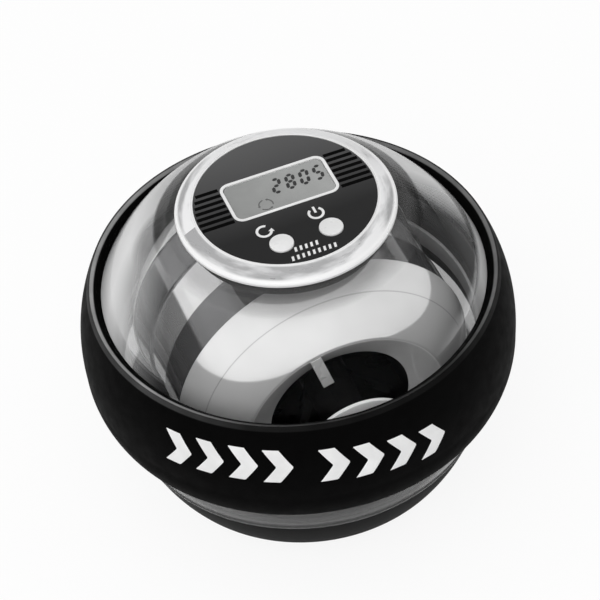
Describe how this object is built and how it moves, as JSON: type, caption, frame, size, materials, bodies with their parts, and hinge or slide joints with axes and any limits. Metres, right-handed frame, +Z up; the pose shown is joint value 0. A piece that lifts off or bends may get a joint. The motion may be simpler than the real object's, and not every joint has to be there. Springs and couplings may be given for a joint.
{
  "type": "gyroscopic_wrist_ball",
  "caption": "Hand-held gyroscopic wrist exerciser: a clear ball with a black rubber grip band, a chrome rotor on a precessing axle inside, and a digital counter on top.",
  "frame": {"origin": "centre of the rest face under the foot ring", "axes": "Z up along the ball's upright axis; -Y is the front, where the counter reads from and where the rotor's axle points at rest; X to the right seen from the front"},
  "size_m": [0.0731, 0.0732, 0.0615],
  "materials": {
    "clear_plastic": "clear polycarbonate, polished",
    "black_rubber": "matte soft rubber",
    "black_nylon": "satin black nylon",
    "steel": "ground steel",
    "silver_bezel": "satin silver with a polished bevel",
    "black_abs": "fine grained black plastic",
    "cell_steel": "plated cell case",
    "contact_brass": "sprung brass",
    "board_green": "printed board lacquer",
    "reed_glass": "glass capsule",
    "lcd_grey": "grey liquid crystal panel",
    "face_black": "black face with a soft gloss",
    "white_trim": "white trim",
    "window_clear": "clear window",
    "button_white": "white button",
    "white_nylon": "natural nylon",
    "chrome_plate": "polished chrome plate",
    "satin_belt": "satin chrome belt",
    "weight_brass": "turned brass",
    "rib_metal": "bright cast ribs",
    "magnet_dark": "nickel plated magnet"
  },
  "bodies": {
    "shell": {"upper_shell": "clear_plastic", "lower_shell": "clear_plastic", "grip_band": "black_rubber", "foot_ring": "black_rubber", "upper_race": "black_nylon", "lower_race": "black_nylon", "lock_screws": "steel", "collar_gasket": "black_rubber", "bezel_ring": "silver_bezel", "counter_housing": "black_abs", "battery_door": "black_abs", "coin_cell": "cell_steel", "cell_contact": "contact_brass", "side_contact": "contact_brass", "circuit_board": "board_green", "board_screws": "steel", "reed_switch": "reed_glass", "counter_chip": "black_abs", "zebra_strips": "black_rubber", "lcd_panel": "lcd_grey", "faceplate": "face_black", "window_frame": "white_trim", "window_lens": "window_clear", "switch_domes": "steel"},
    "guide": {"guide_ring": "white_nylon", "axle_bushings": "contact_brass"},
    "rotor": {"axle": "steel", "rotor_front": "chrome_plate", "rotor_rear": "chrome_plate", "rotor_belt": "satin_belt", "weight_ring": "weight_brass", "hub_front": "chrome_plate", "hub_rear": "chrome_plate", "rib_spider_front": "rib_metal", "rib_spider_rear": "rib_metal", "rotor_screws": "steel", "trigger_magnet": "magnet_dark", "balance_plug": "magnet_dark"},
    "left_key": {"button_left": "button_white"},
    "right_key": {"button_right": "button_white"}
  },
  "joints": [
    {"name": "precession", "type": "hinge", "parent": "shell", "child": "guide", "pos_m": [0, 0, 0.0297], "axis": [0, 0, 1], "continuous": true},
    {"name": "rotor_spin", "type": "hinge", "parent": "guide", "child": "rotor", "pos_m": [0, 0, 0.0297], "axis": [0, -1, 0], "continuous": true},
    {"name": "left_press", "type": "slide", "parent": "shell", "child": "left_key", "axis": [0, 0, -1], "range_m": [0, 0.0003], "stiffness_N_per_m": 1500},
    {"name": "right_press", "type": "slide", "parent": "shell", "child": "right_key", "axis": [0, 0, -1], "range_m": [0, 0.0003], "stiffness_N_per_m": 1500}
  ]
}
